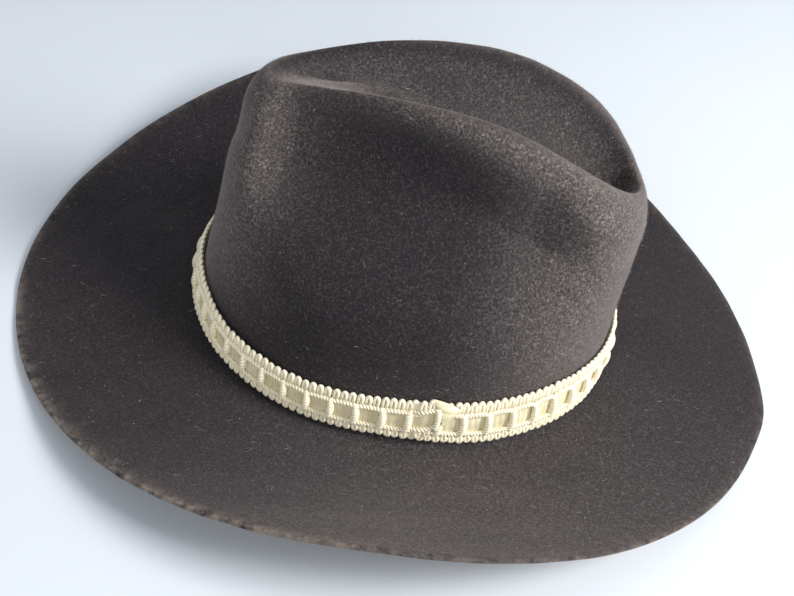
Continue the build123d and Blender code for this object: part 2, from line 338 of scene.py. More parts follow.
def softened(grid):
    """Years of handling have rounded the ridges: the crest rows are eased, nothing else."""
    up_down = np.arange(-14, 15)
    weights = bell(up_down, 0, 6.0)
    weights /= weights.sum()
    near_rows = np.clip(np.arange(len(grid))[:, None] + up_down[None], 0, len(grid) - 1)
    eased = (grid[near_rows] * weights[None, :, None, None]).sum(1)
    sideways = np.arange(-9, 10)
    weights = bell(sideways, 0, 5.0)
    weights /= weights.sum()
    eased = sum(np.roll(eased, k, 1) * weight for k, weight in zip(sideways, weights))
    share = ramp((row_fine - (DISH_ROW - 4)) / 1.5) * ramp((ROWS - 0.5 - row_fine) / 2.0)
    return grid + (eased - grid) * share[:, None, None]


def smoothed_front(grid):
    """The front end of the dish has no crease: it runs out into the pinch."""
    row = row_fine[:, None]
    front = bell(degrees_fine, 270, 26)[None]
    share = (front * ramp((row - (DISH_ROW - 1.5)) / 1.5) * ramp((ROWS - row) / 1.3))[..., None]
    for _ in range(24):
        near = np.roll(grid, 3, 1) + np.roll(grid, -3, 1)
        rows_near = np.concatenate([grid[:3], grid[:-3]]) + np.concatenate([grid[3:], grid[-3:]])
        grid = grid + (0.25 * (near + rows_near) - grid) * 0.8 * share
    return grid


def rounded_shoulder(grid):
    """The side dents meet the ridges in a round shoulder, and the back left ridge is raised."""
    s = np.sin(angle_fine)
    row = row_fine[:, None]
    amount = 2.3 * bell(row, DISH_ROW - 2.9, 0.95) * ramp((s + 0.75) / 0.5)
    amount = amount * ramp((0.97 - s) / 0.3)
    out = row_points(np.cos(angle_fine), s * 0.6, 0.45)
    knob = 3.6 * bell(degrees_fine[None], 70, 22)
    knob = knob * bell(row, CREST_ROW, 1.7)
    return grid + out[None] * amount[..., None] + knob[..., None] * np.array([0.1, 0.15, 1.0])


outer = softened(smoothed_front(rounded_shoulder(outer)))
normal = grid_normals(outer)
outer = outer + normal * hand_shaping(outer)[..., None]
normal = grid_normals(outer)


# ---- Places round the foot of the crown ----
def outward(angle):
    """Level unit directions straight out of the crown's oval."""
    return unit(row_points(np.cos(angle) / CROWN[0], np.sin(angle) / CROWN[1], 0))


HEIGHTS = np.linspace(-4, 60, 129)
UPRIGHT_TO = 2.0                        # below this height the wall is carried straight down
foot_grid = spline_rows(control, np.linspace(FOOT_ROW - 1.5, FOOT_ROW + 6, 151))
foot = np.empty((len(HEIGHTS), COLUMNS, 2))
for column in range(COLUMNS):
    rising = np.maximum.accumulate(foot_grid[:, column, 2])
    for axis in range(2):
        foot[:, column, axis] = np.interp(np.maximum(HEIGHTS, UPRIGHT_TO), rising,
                                          foot_grid[:, column, axis])
foot_out = outward(angle_fine)
mid_line = foot[int(np.argmin(abs(HEIGHTS - 13))), :, :] + 2.5 * foot_out[:, :2]
step = np.linalg.norm(np.roll(mid_line, -1, 0) - mid_line, axis=1)
run = np.concatenate([[0], np.cumsum(step)])
BAND_LENGTH = run[-1]


def angle_at(s):
    """The angle at a length along the band, measured backwards from the wearer's left."""
    turns = np.concatenate([angle_fine, [2 * math.pi]])
    whole = np.floor(s / BAND_LENGTH)
    return np.interp(s - whole * BAND_LENGTH, run, turns) + whole * 2 * math.pi


def wall(angle, height, out):
    """A point at a height on the crown wall, held out from the felt."""
    angle, height, out = np.broadcast_arrays(angle, height, out)
    u = (angle / (2 * math.pi) % 1) * COLUMNS
    i = np.floor(u).astype(int) % COLUMNS
    fu = (u - np.floor(u))[..., None]
    v = np.clip((height - HEIGHTS[0]) / (HEIGHTS[1] - HEIGHTS[0]), 0, len(HEIGHTS) - 1.001)
    j = v.astype(int)
    fv = (v - j)[..., None]
    k = (i + 1) % COLUMNS
    low = foot[j, i] * (1 - fu) + foot[j, k] * fu
    high = foot[j + 1, i] * (1 - fu) + foot[j + 1, k] * fu
    xy = low * (1 - fv) + high * fv + outward(angle)[..., :2] * out[..., None]
    return np.concatenate([xy, height[..., None]], -1)


# How the braid lies: degrees, heights of its top and bottom edges, how far each stands off.
# Behind the first and the last of these places it lies as it does there.
BAND_LIE = np.array((
    (-100, 24.6, 2.6, 0.2, 0.4),
    (-70, 24.2, 2.4, 0.2, -0.4),
    (-50, 20.3, 2.2, 2.4, 1.0),
    (-34, 21.2, 2.2, 1.4, 0.7),
    (-18, 23.4, 2.3, 0.2, 0.4),
    (2, 26.2, 3.8, -0.2, 0.0),
    (14, 26.0, 2.6, -0.3, 0.7),
    (22, 26.6, 2.2, -0.4, 1.0),
    (50, 27.0, 2.0, -0.4, 1.3),
    (68, 25.6, 2.4, -0.4, -0.2),
    (90, 24.6, 2.4, -0.2, -0.2),
    (125, 24.6, 2.6, 0.2, 0.4),
))
BRAID = (2.4, 24.8)                     # the braid's own edges


def half_turns(degrees):
    """The same angle between -180 and 180 degrees."""
    return (degrees + 180) % 360 - 180


def band_lie(angle):
    """Top, bottom and their two stand-offs, each averaged over a few places nearby."""
    turn = half_turns(np.degrees(angle))
    nearby = [half_turns(turn + shift) for shift in (-8, -4, 0, 4, 8)]
    return [sum(np.interp(place, BAND_LIE[:, 0], BAND_LIE[:, k]) for place in nearby) / 5
            for k in range(1, 5)]


def on_band(s, height, out):
    """A point on the braid, from its length along it, height across it and distance out."""
    angle, height, out = np.broadcast_arrays(angle_at(np.asarray(s, float)), height, out)
    top, bottom, top_out, bottom_out = band_lie(angle)
    share = (height - BRAID[0]) / (BRAID[1] - BRAID[0])
    lean = bottom_out + (top_out - bottom_out) * share
    return wall(angle, bottom + (top - bottom) * share, out + lean)


# ---- Materials ----
BLACK = (0, 0, 0)
WHITE = (1, 1, 1)


class Recipe:
    """A procedural material built on one Principled shader."""

    def __init__(self, name, roughness=0.8, sheen=0.0, specular=0.3, sheen_tint=(1, 1, 1, 1)):
        self.material = bpy.data.materials.new(name)
        self.material.use_nodes = True
        self.tree = self.material.node_tree
        self.shader = self.tree.nodes["Principled BSDF"]
        self.shader.inputs["Roughness"].default_value = roughness
        self.shader.inputs["Sheen Weight"].default_value = sheen
        self.shader.inputs["Sheen Roughness"].default_value = 0.45
        self.shader.inputs["Sheen Tint"].default_value = sheen_tint
        self.shader.inputs["Specular IOR Level"].default_value = specular
        self.place = self.node("ShaderNodeTexCoord").outputs["Object"]
        self.relief = None

    def put(self, socket, value):
        """Links another node's output to a socket, or sets the socket to a constant."""
        if isinstance(value, bpy.types.NodeSocket):
            self.tree.links.new(value, socket)
        else:
            socket.default_value = value

    def node(self, kind, inputs=None, **settings):
        node = self.tree.nodes.new(kind)
        for key, value in settings.items():
            setattr(node, key, value)
        for key, value in (inputs or {}).items():
            self.put(node.inputs[key], value)
        return node

    def noise(self, scale, detail=3.0, rough=0.55, stretch=None, distortion=0.0):
        place = self.place
        if stretch:
            place = self.node("ShaderNodeMapping", {"Vector": place, "Scale": stretch}).outputs["Vector"]
        inputs = {"Vector": place, "Scale": scale, "Detail": detail, "Roughness": rough}
        return self.node("ShaderNodeTexNoise", {**inputs, "Distortion": distortion}).outputs["Fac"]

    def attribute(self, name):
        return self.node("ShaderNodeAttribute", attribute_name=name).outputs["Fac"]

    def ramp(self, source, *stops):
        """Colours for a value, from stops of (value, colour)."""
        node = self.node("ShaderNodeValToRGB", {"Fac": source})
        first, last = node.color_ramp.elements
        first.position, last.position = stops[0][0], stops[-1][0]
        first.color, last.color = (*stops[0][1], 1), (*stops[-1][1], 1)
        for position, colour in stops[1:-1]:
            node.color_ramp.elements.new(position).color = (*colour, 1)
        return node.outputs["Color"]

    def mix(self, share, first, second):
        """The first colour, giving way to the second as the share grows to 1."""
        node = self.node("ShaderNodeMix", data_type="RGBA")
        for socket, value in ((0, share), (6, first), (7, second)):
            self.put(node.inputs[socket], (*value, 1) if isinstance(value, tuple) else value)
        return node.outputs[2]

    def maths(self, operation, first, second=0.0):
        return self.node("ShaderNodeMath", {0: first, 1: second}, operation=operation).outputs[0]

    def colour(self, source):
        self.put(self.shader.inputs["Base Color"], source)

    def rough(self, source, low, high):
        node = self.node("ShaderNodeMapRange", {"Value": source, "To Min": low, "To Max": high})
        self.put(self.shader.inputs["Roughness"], node.outputs["Result"])

    def bump(self, source, strength, distance):
        """Relief, on top of any that was given before."""
        node = self.node("ShaderNodeBump", {"Height": source, "Strength": strength, "Distance": distance})
        if self.relief:
            self.put(node.inputs["Normal"], self.relief)
        self.relief = node.outputs["Normal"]
        self.put(self.shader.inputs["Normal"], self.relief)


def felt_material():
    """Brushed black felt gone slightly brown, with a fibrous nap, worn edges and painted light: a much
    paler nap where the lamps light it.
    """
    m = Recipe("felt", 0.94, 0.28, 0.12, (1.0, 0.87, 0.82, 1))
    fibres = m.noise(900, 4, 0.7, distortion=0.6)
    clumps = m.noise(230, 3, 0.6)
    clouds = m.noise(22, 2, 0.5)
    # painted light: the attribute blends the dark nap into a much paler painted-lit nap where the lamps
    # fall
    painted_light = m.attribute("painted_light")
    unpainted = m.ramp(fibres, (0.38, (0.005, 0.005, 0.007)), (0.53, (0.015, 0.013, 0.016)),
                   (0.68, (0.070, 0.060, 0.062)))
    painted_lit = m.ramp(fibres, (0.36, (0.040, 0.033, 0.031)), (0.52, (0.115, 0.097, 0.089)),
                   (0.66, (0.32, 0.28, 0.255)))
    base = m.mix(painted_light, unpainted, painted_lit)
    base = m.mix(m.maths("MULTIPLY", clumps, 0.55), base, (0.026, 0.022, 0.023))
    base = m.mix(m.maths("MULTIPLY", clouds, 0.3), base, (0.013, 0.011, 0.014))
    patchy = m.ramp(m.noise(160, 4, 0.7), (0.35, BLACK), (0.6, WHITE))
    worn = m.maths("MULTIPLY", m.attribute("wear"), patchy)
    base = m.mix(worn, base, (0.20, 0.165, 0.135))
    m.colour(base)
    m.bump(clumps, 0.35, 0.0006)
    m.bump(fibres, 0.5, 0.0003)
    return m.material


def fibre_material(name, dark, light, painted_lit_dark, painted_lit_light):
    """Loose fibres, painted paler where the felt under them has painted light."""
    m = Recipe(name, 0.9, 0.1, 0.1)
    vary = m.noise(420, 2)
    unpainted = m.ramp(vary, (0.4, dark), (0.62, light))
    # painted light: the paler ramp for fibres on painted-lit felt
    painted_lit = m.ramp(vary, (0.4, painted_lit_dark), (0.62, painted_lit_light))
    m.colour(m.mix(m.attribute("painted_light"), unpainted, painted_lit))
    return m.material


def cord_material():
    """Silky ivory yarn with fine strands and slight soiling."""
    m = Recipe("cord", 0.55, 0.35, 0.35, (1.0, 0.95, 0.82, 1))
    strands = m.noise(2600, 2, 0.5)
    soiled = m.ramp(m.noise(45, 3, 0.6), (0.45, BLACK), (0.75, WHITE))
    base = m.ramp(strands, (0.3, (0.84, 0.73, 0.48)), (0.62, (0.96, 0.89, 0.69)))
    base = m.mix(m.maths("MULTIPLY", soiled, 0.3), base, (0.72, 0.60, 0.38))
    m.colour(base)
    m.rough(strands, 0.45, 0.7)
    m.bump(strands, 0.5, 0.00015)
    return m.material


def satin_material():
    """Beige satin ribbon with fine upright ribs."""
    m = Recipe("satin", 0.42, 0.25, 0.45, (1.0, 0.96, 0.85, 1))
    ribs = m.attribute("ribs")
    wave = m.maths("SINE", m.maths("MULTIPLY", ribs, 6000.0))
    shade = m.noise(140, 3, 0.6)
    base = m.ramp(shade, (0.32, (0.66, 0.58, 0.36)), (0.66, (0.80, 0.74, 0.52)))
    base = m.mix(m.maths("MULTIPLY", m.maths("ADD", wave, 1.0), 0.09), base, (0.42, 0.34, 0.18))
    m.colour(base)
    m.rough(shade, 0.36, 0.52)
    m.bump(wave, 0.25, 0.0001)
    return m.material


def tape_material(name, dark, light):
    """Woven cotton."""
    m = Recipe(name, 0.85, 0.2, 0.2)
    weave = m.noise(1500, 2, 0.5)
    m.colour(m.ramp(weave, (0.35, dark), (0.65, light)))
    m.bump(weave, 0.5, 0.0002)
    return m.material


def leather_material():
    """Brown roan leather, darker and shinier where the head has rubbed it."""
    m = Recipe("leather", 0.5, 0.0, 0.4)
    inputs = {"Vector": m.place, "Scale": 900}
    grain = m.node("ShaderNodeTexVoronoi", inputs, feature="DISTANCE_TO_EDGE").outputs["Distance"]
    patches = m.noise(35, 4, 0.6)
    base = m.ramp(patches, (0.3, (0.085, 0.038, 0.016)), (0.7, (0.21, 0.105, 0.045)))
    creases = m.ramp(grain, (0.0, WHITE), (0.25, BLACK))
    base = m.mix(m.maths("MULTIPLY", creases, 0.35), base, (0.05, 0.022, 0.010))
    m.colour(base)
    m.rough(patches, 0.38, 0.62)
    m.bump(grain, 0.35, 0.0003)
    return m.material


def lining_material():
    """Pale grey satin."""
    m = Recipe("lining", 0.35, 0.15, 0.5)
    weave = m.noise(2200, 1, 0.5, stretch=(1, 1, 0.2))
    shade = m.noise(30, 3, 0.5)
    m.colour(m.ramp(shade, (0.3, (0.50, 0.48, 0.43)), (0.7, (0.66, 0.63, 0.57))))
    m.rough(shade, 0.28, 0.45)
    m.bump(weave, 0.2, 0.0001)
    return m.material


def card_material():
    """Cream card."""
    m = Recipe("card", 0.8)
    m.colour(m.ramp(m.noise(400, 4), (0.3, (0.66, 0.62, 0.50)), (0.7, (0.80, 0.77, 0.68))))
    return m.material


def plastic_material():
    """Dull cream plastic."""
    m = Recipe("reed_plastic", 0.45, 0.0, 0.5)
    m.colour(m.ramp(m.noise(80, 3), (0.3, (0.50, 0.47, 0.40)), (0.7, (0.62, 0.59, 0.52))))
    m.bump(m.noise(900), 0.2, 0.0001)
    return m.material


CORD = cord_material()
SATIN = satin_material()
LINING = lining_material()
LEATHER = leather_material()
BLACK_TAPE = tape_material("black_tape", (0.012, 0.012, 0.014), (0.035, 0.034, 0.036))
IVORY_TAPE = tape_material("ivory_tape", (0.45, 0.37, 0.22), (0.66, 0.58, 0.40))
THREAD_RADIUS = 0.22
STITCHES = 150                          # round the sweatband; the CAD model draws 72
THREAD = tape_material("thread", (0.42, 0.33, 0.20), (0.62, 0.52, 0.34))


# ---- Felt ----
def set_attribute(mesh, name, values):
    """A number at each point, for a material to read."""
    layer = mesh.attributes.new(name, "FLOAT", "POINT")
    layer.data.foreach_set("value", np.asarray(values, np.float32).ravel())


def painted_light_shares():
    """Painted light: shares of a paler nap painted where the lamps light the felt: the ridges, the pinch,
    the back left, the back lump, the dish and the near brim.
    """
    s = np.sin(angle_fine)[None]
    c = np.cos(angle_fine)[None]
    row = row_fine[:, None]
    crown = ramp((row - FOOT_ROW) / 2)
    back_left = 0.05 + 0.85 * ramp((s - 0.05) / 0.75) * ramp((c + 0.5) / 1.2)
    ridges = 0.85 * bell(row, DISH_ROW - 2, 1.1) * ramp((s + 0.9) / 0.9)
    lump = 0.90 * bell(row, DISH_ROW - 1, 2.6) * ramp((s - 0.45) / 0.45) * ramp((c + 0.5) / 0.8)
    prow = 0.85 * crown * bell(degrees_fine[None], 294, 21)
    dish = 0.36 * ramp((row - DISH_ROW) / 2)
    brim = (1 - crown) * 0.34 * ramp((c + 0.1) / 1.0) * ramp((s + 0.9) / 1.0)
    return np.clip(crown * back_left + ridges + lump + prow + (dish + brim), 0, 1)


# painted light over the outer face, as shares of the paler painted-lit nap
PAINTED_LIGHT = painted_light_shares()
UNDER_BRAID = (FOOT_ROW - 0.2, 1.1)     # the middle row of what the braid hides, and rows each way


def build_felt():
    """The blocked felt: outer face, rounded cut edge and inner face as one closed mesh."""
    inner = outer - normal * FELT
    mid = (outer[0] + inner[0]) / 2
    away = unit(np.cross(normal[0], np.roll(outer[0], -1, 0) - np.roll(outer[0], 1, 0)))
    away *= np.sign((away * (outer[0] - outer[4])).sum(1))[:, None]
    lip = [mid + normal[0] * FELT / 2 * math.cos(t) + away * 0.55 * math.sin(t)
           for t in (math.pi * k / 4 for k in (1, 2, 3))]
    rings = np.concatenate([outer[::-1], np.array(lip), inner])
    piece = new_piece("felt", rings.reshape(-1, 3), grid_faces(len(rings), COLUMNS), "hat",
                      "black_felt", felt_material(), replaces=["felt_body"])
    # wear: along the cut edge, most at the front left, and a little on the ridges
    from_edge = np.linalg.norm(outer - outer[0][None], axis=-1)
    front_left = bell(degrees_fine, 318, 42)
    edge_wear = np.exp(-from_edge / 2.2) * (0.30 + 0.9 * front_left[None])
    ridge_wear = 0.22 * bell(row_fine[:, None], CREST_ROW, 0.8)
    wear = np.clip(edge_wear + ridge_wear, 0, 1)
    lip_wear = np.repeat((0.45 + 0.55 * front_left)[None], len(lip), 0)
    under = np.exp(-from_edge / 2.0) * 0.4
    set_attribute(piece.data, "wear", np.concatenate([wear[::-1], lip_wear, under]))
    # painted light: the outer face gets its painted-light shares, the cut edge and inner face none
    unpainted = np.zeros((len(lip) + len(inner), COLUMNS))
    set_attribute(piece.data, "painted_light", np.concatenate([PAINTED_LIGHT[::-1], unpainted]))
    weld = piece.modifiers.new("weld", "WELD")
    weld.merge_threshold = 0.00002


def scatter(count):
    """Random places on the felt's outer face, spread evenly by area: point, normal, ring, column."""
    a = outer[:-1]
    area = np.linalg.norm(np.cross(outer[1:] - a, np.roll(a, -1, 1) - a), axis=-1)
    flat = np.cumsum(area.ravel())
    pick = np.searchsorted(flat, rng.random(count) * flat[-1])
    i, j = np.unravel_index(pick, area.shape)
    u = rng.random((count, 1))
    v = rng.random((count, 1))
    k = (j + 1) % COLUMNS
    low = outer[i, j] * (1 - u) + outer[i, k] * u
    high = outer[i + 1, j] * (1 - u) + outer[i + 1, k] * u
    return low * (1 - v) + high * v, normal[i, j], i, j


def fibres(name, count, length, width, lift, curl, material, steps=3):
    """Loose fibres lying on the nap, each a narrow bent strip, with none under the braid."""
    root, up, ring, column = scatter(count)
    bare = np.abs(row_fine[ring] - UNDER_BRAID[0]) > UNDER_BRAID[1]
    root, up = root[bare], up[bare]
    count = len(root)
    # painted light of the felt under each fibre
    painted_lit = PAINTED_LIGHT[ring[bare], column[bare]]
    aim = rng.normal(size=(count, 3))
    aim = unit(aim - (aim * up).sum(1)[:, None] * up)
    side = np.cross(up, aim)
    size = rng.uniform(*length, count)[:, None]
    bend = rng.normal(0, curl, count)[:, None]
    rise = rng.uniform(*lift, count)[:, None]
    half = rng.uniform(0.6, 1.2, (count, 1)) * width / 2
    tilted = side * math.cos(0.6) + up * math.sin(0.6)
    points = []
    for k in range(steps + 1):
        t = k / steps
        taper = half * (1.0 - 0.75 * t)
        spine = root + up * (0.03 + rise * math.sin(math.pi * min(t + 0.15, 1) * 0.6)) + aim * size * t
        spine = spine + side * bend * size * t * t
        points += [spine - tilted * taper, spine + tilted * taper]
    points = np.stack(points, 1).reshape(-1, 3)
    per = 2 * (steps + 1)
    start = np.arange(count)[:, None] * per
    quad = np.array([0, 1, 3, 2])
    faces = np.concatenate([start + quad + 2 * k for k in range(steps)])
    piece = new_piece(name, points, faces, "hat", "black_felt", material, replaces=[])
    set_attribute(piece.data, "painted_light", np.repeat(painted_lit, per))


def specks(name, count, size, material):
    """Dust specks: tiny squashed eight-sided grains."""
    root, up = scatter(count)[:2]
    grains = Parts()
    base = np.array([(1, 0, 0), (0, 1, 0), (-1, 0, 0), (0, -1, 0), (0, 0, 1), (0, 0, -1)], float)
    faces = [(0, 1, 4), (1, 2, 4), (2, 3, 4), (3, 0, 4), (1, 0, 5), (2, 1, 5), (3, 2, 5), (0, 3, 5)]
    for p, n in zip(root, up):
        radius = rng.uniform(*size)
        grains.add(p + n * radius * 0.6 + base * radius * rng.uniform(0.6, 1.3, (6, 1)), faces)
    grains.made(name, "hat", "black_felt", material, replaces=[])


# ---- Braid ----
# Lengths along the band start at the wearer's left, and distances out start at the felt.
BARS = 52
FIRST_BAR = 31.8
JOIN_SPAN = 25.8                        # length at the join that the even bars leave out
BAR_PITCH = (BAND_LENGTH - JOIN_SPAN) / (BARS - 2)
LOOPS = 166
LOOP_PITCH = BAND_LENGTH / LOOPS
JOIN_AT = 19.3                          # where the lapped end stops
LAP = 13.0
LAP_CLIMB = 0.32                        # rise of the lapped end for each mm along
ROPE_LOW = 8.0
ROPE_HIGH = 18.2
ROPE_PITCH = 3.1
STRAND_SIDES = 6


def sag(s):
    """The braid wanders a little up and down on the felt."""
    turn = 2 * math.pi * np.asarray(s, float) / BAND_LENGTH
    return 0.35 * np.sin(3 * turn + 0.4) + 0.25 * np.sin(7 * turn + 2.0)


def band_strip(name, low, high, near, far, slot, material, puff=None, across=9):
    """A flat strip of the braid, all the way round, with rounded edges."""
    n = 1560
    s = np.arange(n) * BAND_LENGTH / n
    t = np.linspace(0, 1, across)
    h = low + (high - low) * t[:, None] + sag(s)[None]
    belly = 0.5 * np.sqrt(np.clip(1 - (2 * t[:, None] - 1) ** 8, 0, 1))
    lift = puff(s[None], t[:, None]) if puff else 0
    front = on_band(s[None], h, near + (far - near) * (0.5 + belly) + lift)
    rear = on_band(s[None], h, near + (far - near) * (0.5 - belly))
    points = np.concatenate([front, rear[::-1]]).reshape(-1, 3)
    piece = new_piece(name, points, hoop_faces(2 * across, n), "hatband", slot, material)
    set_attribute(piece.data, "ribs", np.tile(s, 2 * across) / 1000)
    return piece


def ribbon_puff(s, t):
    """The ribbon bellies out in each window and is pinched in under each bar."""
    phase = ((s - FIRST_BAR) / BAR_PITCH) % 1
    swell = np.sin(math.pi * phase) ** 0.7
    return 0.75 * swell * (0.55 + 0.45 * np.sin(math.pi * t)) + 0.12 * np.sin(s * 2.1 + 3 * t)


def twisted(path, hint, radius, pitch, strands=2, closed=True, start=0.0):
    """Strands laid round a path like a rope."""
    if closed:
        length = np.linalg.norm(np.roll(path, -1, 0) - path, axis=1)
        turns = round(length.sum() / pitch)
    else:
        length = np.linalg.norm(np.diff(path, axis=0, append=path[-1:]), axis=1)
        turns = length.sum() / pitch
    travelled = np.concatenate([[0], np.cumsum(length)[:-1]]) / length.sum()
    across, other = directions(path, hint, closed)
    rope = Parts()
    for k in range(strands):
        turn = start + 2 * math.pi * (travelled * turns + k / strands)
        ring = np.cos(turn)[:, None] * across + np.sin(turn)[:, None] * other
        rope.add(*tube(path + ring * radius * 0.56, radius * 0.56, ring, STRAND_SIDES, closed))
    return rope


def rope_ring(name, height, out, radius):
    """A rope cord along the braid, drawn in a little by every bar."""
    n = 2400
    s = np.arange(n) * BAND_LENGTH / n
    bar = ((s - FIRST_BAR) / BAR_PITCH) % 1
    near_bar = bell(np.minimum(bar, 1 - bar), 0, 0.16)
    middle = (ROPE_LOW + ROPE_HIGH) / 2
    h = height + sag(s) + near_bar * 0.5 * np.sign(middle - height)
    path = on_band(s, h, out + 0.3 * near_bar)
    rope = twisted(path, outward(angle_at(s)), radius, ROPE_PITCH)
    rope.made(name, "hatband", "ivory_cord", CORD)


def picot_row(name, foot_height, tip_height, out, yarn, tall):
    """A row of yarn loops standing along one edge of the braid, tall ones or round ones."""
    loops = Parts()
    t = np.linspace(0, 1, 15)
    span = tip_height - foot_height
    for k in range(LOOPS):
        centre = (k + 0.5) * LOOP_PITCH + rng.normal(0, 0.10)
        reach = span * rng.uniform(0.93, 1.05)
        lean = rng.normal(0, 0.12)
        width = LOOP_PITCH * (0.30 if tall else 0.25)
        if tall:
            side = width * -np.cos(math.pi * t) * (0.75 + 0.45 * np.sin(math.pi * t))
            up = np.sin(math.pi * t) ** 0.55
        else:
            ring = 2 * math.pi * t - math.pi / 2
            side = -width * 1.05 * np.cos(ring + math.pi)
            up = 0.5 + 0.5 * np.sin(ring)
        s = centre + side + lean * up
        h = foot_height + reach * up + sag(centre)
        bulge = out + 0.35 * np.sin(math.pi * up) + 0.15 * side / width
        radius = yarn * rng.uniform(0.92, 1.08)
        loops.add(*tube(on_band(s, h, bulge), radius, outward(angle_at(s)), STRAND_SIDES))
    loops.made(name, "hatband", "ivory_cord", CORD)


def crossbars():
    """Twisted cord bars that hold the ribbon down, arched between the two ropes."""
    bars = Parts()
    strands = 3
    t = np.linspace(0, 1, 26)
    for k in range(BARS):
        s0 = FIRST_BAR + (k - 1) * BAR_PITCH + rng.normal(0, 0.2)
        bow = rng.uniform(0.6, 1.1)
        s = s0 + bow * np.sin(math.pi * t) - 0.4
        h = ROPE_LOW - 0.6 + (ROPE_HIGH - ROPE_LOW + 1.2) * t + sag(s0)
        out = 2.5 + 1.1 * np.sin(math.pi * t) ** 0.6
        path = on_band(s, h, out)
        swell = 0.86 + 0.24 * np.sin(math.pi * t)
        bar = twisted(path, outward(angle_at(s)), 1.65, 4.6, strands, closed=False,
                      start=rng.uniform(0, 6))
        centre = np.tile(np.repeat(path, STRAND_SIDES, 0), (strands, 1))
        scale = np.tile(np.repeat(swell, STRAND_SIDES), strands)[:, None]
        bars.add(centre + (bar.all_points() - centre) * scale, bar.faces)
    bars.made("band_crossbars", "hatband", "ivory_cord", CORD)


def lapped_end():
    """The braid's front end, lying over its back end: ropes, loops and bars once more."""
    lap = Parts()
    start = JOIN_AT - LAP

    def climb(s):
        return LAP_CLIMB * (s - start)

    def lift(s):
        return 1.9 * ramp((s - start) / 6.0)

    s = np.linspace(start, JOIN_AT, 60)
    for height in (ROPE_LOW + 0.9, ROPE_HIGH + 0.9):
        path = on_band(s, height + climb(s), 2.3 + lift(s))
        rope = twisted(path, outward(angle_at(s)), 1.2, ROPE_PITCH, closed=False)
        lap.add(rope.all_points(), rope.faces)
    t = np.linspace(0, math.pi, 13)
    for centre in np.arange(start + 1.5, JOIN_AT - 2.0, LOOP_PITCH):
        s = centre - np.cos(t)
        for foot_height, tall, out in ((ROPE_HIGH + 1.2, 5.2, 2.2), (ROPE_LOW, -3.6, 2.0)):
            h = foot_height + climb(centre) + tall * np.sin(t) ** 0.6
            path = on_band(s, h, out + lift(centre))
            lap.add(*tube(path, 0.9, outward(angle_at(s)), STRAND_SIDES))
    h = np.linspace(ROPE_LOW + 1.0, ROPE_HIGH + 1.6, 24)
    arch = np.sin(np.linspace(0, math.pi, 24)) ** 0.6
    for centre in (JOIN_AT - 13.3, JOIN_AT - 1.2):
        path = on_band(centre + 0.7 * arch, h + climb(centre), 2.6 + lift(centre) + 1.1 * arch)
        bar = twisted(path, outward(angle_at(np.full(24, centre))), 1.45, 5.2, 3, closed=False)
        lap.add(bar.all_points(), bar.faces)
    lap.made("band_lapped_end", "hatband", "ivory_cord", CORD)


def ribbon_sheet(name, s, h, out, thickness, replaces=None):
    """A piece of satin ribbon from grids of length, height and distance out."""
    s, h, out = np.broadcast_arrays(s, h, out)
    points, faces = slab(on_band(s, h, out), on_band(s, h, out - thickness))
    piece = new_piece(name, points, faces, "hatband", "satin_ribbon", SATIN, replaces)
    set_attribute(piece.data, "ribs", np.tile(s.ravel(), 2) / 1000)
    return piece


def folded_tail():
    """The end of the ribbon, turned down into a pointed flap over the join."""
    top_corner, low_corner, tip = (np.array(p) for p in ((15.2, 28.6), (21.4, 15.8), (28.8, 22.8)))
    u = np.linspace(0, 1, 30)[None, :]
    v = np.linspace(0, 1, 20)[:, None]
    edge = [top_corner[k] + (low_corner[k] - top_corner[k]) * v for k in range(2)]
    s, h = ((1 - u) * edge[k] + u * tip[k] for k in range(2))
    h = h + 0.7 * np.sin(math.pi * u) * (1 - 2 * v)
    belly = np.sin(math.pi * u) ** 0.7 * (1 - (2 * v - 1) ** 2)
    crease = bell(v, 0.42 + 0.2 * u, 0.10) * (1 - u)
    out = 4.6 + 2.4 * v * (1 - u) + 1.3 * belly - 0.5 * crease - 0.2 * u
    return ribbon_sheet("band_folded_tail", s, h, out, 0.4)


def lapped_ribbon():
    """The ribbon's window in the lapped end."""
    u = np.linspace(0, 1, 30)[None, :]
    v = np.linspace(0, 1, 12)[:, None]
    s = JOIN_AT - LAP + 1.0 + (LAP - 1.0) * u
    h = ROPE_LOW + 0.6 + LAP_CLIMB * (s - JOIN_AT + LAP) + (ROPE_HIGH - ROPE_LOW) * v
    out = 2.0 + 1.9 * ramp((s - s.min()) / 6.0) + 0.5 * np.sin(math.pi * u) * np.sin(math.pi * v)
    return ribbon_sheet("band_lapped_ribbon", s, h, out, 0.5, replaces=[])


def join_stitches():
    """Four slanting tacks that hold the lapped end down."""
    tacks = Parts()
    t = np.linspace(0, 1, 9)
    for centre, height in ((13.6, 9.6), (15.0, 9.2), (17.2, 19.6), (18.4, 18.6)):
        s = centre + 1.6 * t
        path = on_band(s, height + 1.3 * t, 5.5 + 0.5 * np.sin(math.pi * t))
        tacks.add(*tube(path, THREAD_RADIUS, outward(angle_at(s)), STRAND_SIDES))
    tacks.made("band_join_stitches", "hatband", "thread", THREAD)


# ---- Inside ----
# Heights start at the brim break, and distances out start at the felt's outer face.
def inner_ring(name, profile, slot, material, wobble=0.0):
    """A ring inside the crown from a closed profile of (height, distance out)."""
    rows = []
    for height, out in profile:
        ripple = wobble * np.sin(9 * angle_fine + 0.2 * height) * ramp((height - 10) / 30)
        rows.append(wall(angle_fine, height, out + ripple))
    points = np.array(rows).reshape(-1, 3)
    new_piece(name, points, hoop_faces(len(rows), COLUMNS), "hat", slot, material)


